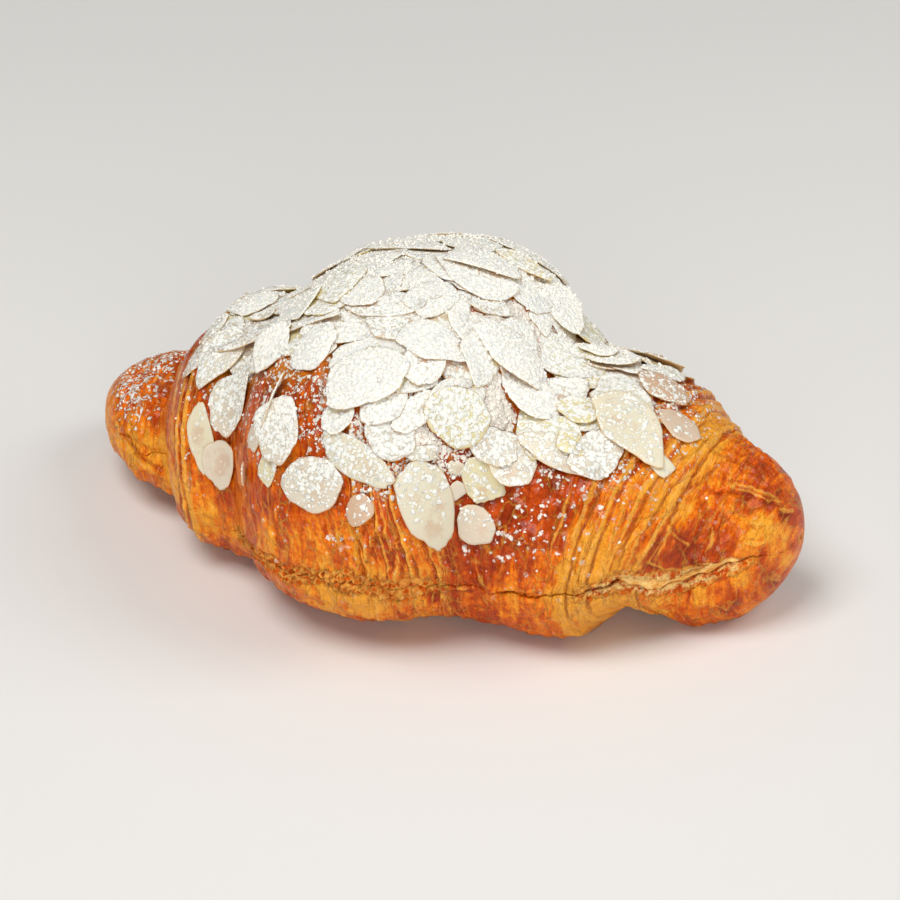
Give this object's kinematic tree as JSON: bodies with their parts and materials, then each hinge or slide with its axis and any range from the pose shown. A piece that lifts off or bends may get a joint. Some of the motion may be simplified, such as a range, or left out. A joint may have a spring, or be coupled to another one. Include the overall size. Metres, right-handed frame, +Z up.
{
  "type": "almond croissant",
  "caption": "Baked almond croissant, cut and filled with almond cream, heaped with sliced almonds and dusted with sugar; lies on its flat underside.",
  "frame": {"origin": "under the middle of the croissant, on the surface it lies on", "axes": "+X along the croissant towards its blunt tip, -Y towards its front, +Z up"},
  "size_m": [0.1818, 0.107, 0.079],
  "materials": {
    "crust": "satin",
    "cream": "matt",
    "base_crust": "satin"
  },
  "bodies": {
    "root": {"croissant_top": "crust", "almond_filling": "cream", "croissant_base": "base_crust"}
  },
  "joints": []
}
